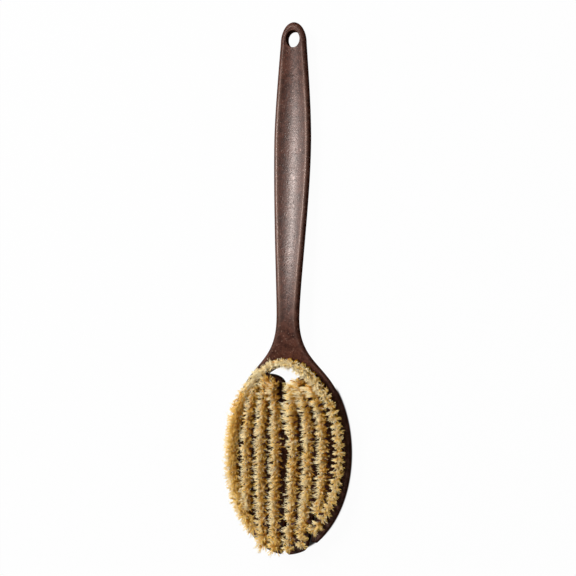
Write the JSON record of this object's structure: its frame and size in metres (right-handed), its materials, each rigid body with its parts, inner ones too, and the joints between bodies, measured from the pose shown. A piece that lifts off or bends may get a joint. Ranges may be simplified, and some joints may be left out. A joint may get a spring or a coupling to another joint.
{
  "type": "back brush",
  "caption": "Long-handled back brush with a dished oval head slit into springy fingers, rows of natural bristle and a hanging hole in the tip.",
  "frame": {"origin": "centre of the bounding box at its lowest plane, where the flat back of the head and the belly of the handle rest", "axes": "+Z from the back to the bristle side, +Y from the end of the head to the hanging hole, X across the head"},
  "size_m": [0.0964, 0.3999, 0.0316],
  "materials": {
    "composite": "satin, finely speckled",
    "bristle": "matte"
  },
  "bodies": {
    "root": {"brush_body": "composite", "bristles_outer_left": "bristle", "bristles_inner_left": "bristle", "bristles_inner_right": "bristle", "bristles_outer_right": "bristle"}
  },
  "joints": []
}
